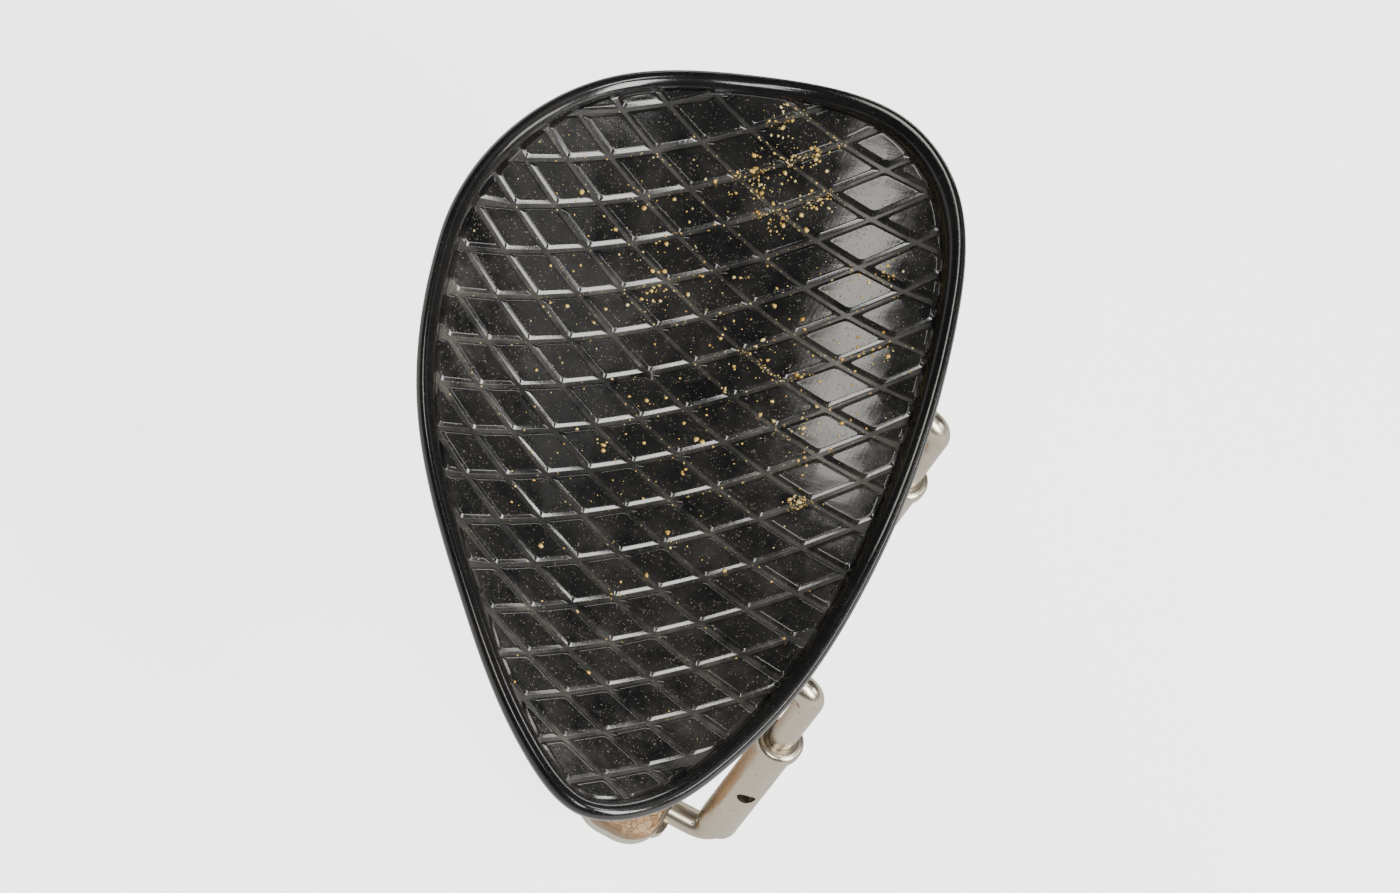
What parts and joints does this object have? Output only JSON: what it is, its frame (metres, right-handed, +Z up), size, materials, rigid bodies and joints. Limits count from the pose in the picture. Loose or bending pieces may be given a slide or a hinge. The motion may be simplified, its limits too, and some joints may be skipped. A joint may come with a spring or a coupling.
{
  "type": "violin chin rest",
  "caption": "Side-mounted violin chin rest: a hatched black dish on cork-faced blocks, clamped over the edge by turnbuckle barrels and a cork-lined foot.",
  "frame": {"origin": "middle of the standing face of the tail-side cork, where it rests on the instrument top", "axes": "+X out of the instrument across its edge, +Y along the edge towards the tailpiece, +Z up away from the instrument top"},
  "size_m": [0.0646, 0.097, 0.0702],
  "materials": {
    "black_ebonite": "polished hard rubber",
    "cork": "fine-grained sheet cork",
    "nickel_plate": "aged bright nickel plate",
    "plated_strap": "worn nickel plate",
    "screw_steel": "plain turned steel",
    "rivet_brass": "tarnished brass"
  },
  "bodies": {
    "root": {"chin_plate": "black_ebonite", "rest_cork_neck": "cork", "rest_cork_tail": "cork", "upper_leg_neck": "nickel_plate", "upper_leg_tail": "nickel_plate", "leg_screw_neck_1": "screw_steel", "leg_screw_neck_2": "screw_steel", "leg_screw_tail_1": "screw_steel", "leg_screw_tail_2": "screw_steel"},
    "foot": {"foot_plate": "plated_strap", "foot_cork_neck": "cork", "foot_cork_tail": "cork", "lower_leg_neck": "nickel_plate", "lower_leg_tail": "nickel_plate", "foot_rivet_neck": "rivet_brass", "foot_rivet_tail": "rivet_brass"},
    "ring_neck": {"barrel_ring_neck": "nickel_plate"},
    "barrel_neck": {"barrel_neck": "nickel_plate"},
    "ring_tail": {"barrel_ring_tail": "nickel_plate"},
    "barrel_tail": {"barrel_tail": "nickel_plate"}
  },
  "joints": [
    {"name": "ring_neck_rise", "type": "slide", "parent": "root", "child": "ring_neck", "axis": [0, 0, 1], "range_m": [-0.003, 0.0005]},
    {"name": "barrel_neck_turn", "type": "hinge", "parent": "ring_neck", "child": "barrel_neck", "pos_m": [0.0215, -0.0495, -0.0246], "axis": [0, 0, 1], "range_deg": [-2160, 360]},
    {"name": "ring_tail_rise", "type": "slide", "parent": "root", "child": "ring_tail", "axis": [0, 0, 1], "range_m": [-0.003, 0.0005]},
    {"name": "barrel_tail_turn", "type": "hinge", "parent": "ring_tail", "child": "barrel_tail", "pos_m": [0.0215, -0.0115, -0.0246], "axis": [0, 0, 1], "range_deg": [-2160, 360]},
    {"name": "foot_rise", "type": "slide", "parent": "root", "child": "foot", "axis": [0, 0, 1], "range_m": [-0.006, 0.001]}
  ],
  "couplings": [
    {"joint": "barrel_neck_turn", "follows": "foot_rise", "rad_per_m": 6283.2},
    {"joint": "barrel_tail_turn", "follows": "foot_rise", "rad_per_m": 6283.2},
    {"joint": "ring_neck_rise", "follows": "foot_rise", "ratio": 0.5},
    {"joint": "ring_tail_rise", "follows": "foot_rise", "ratio": 0.5}
  ]
}
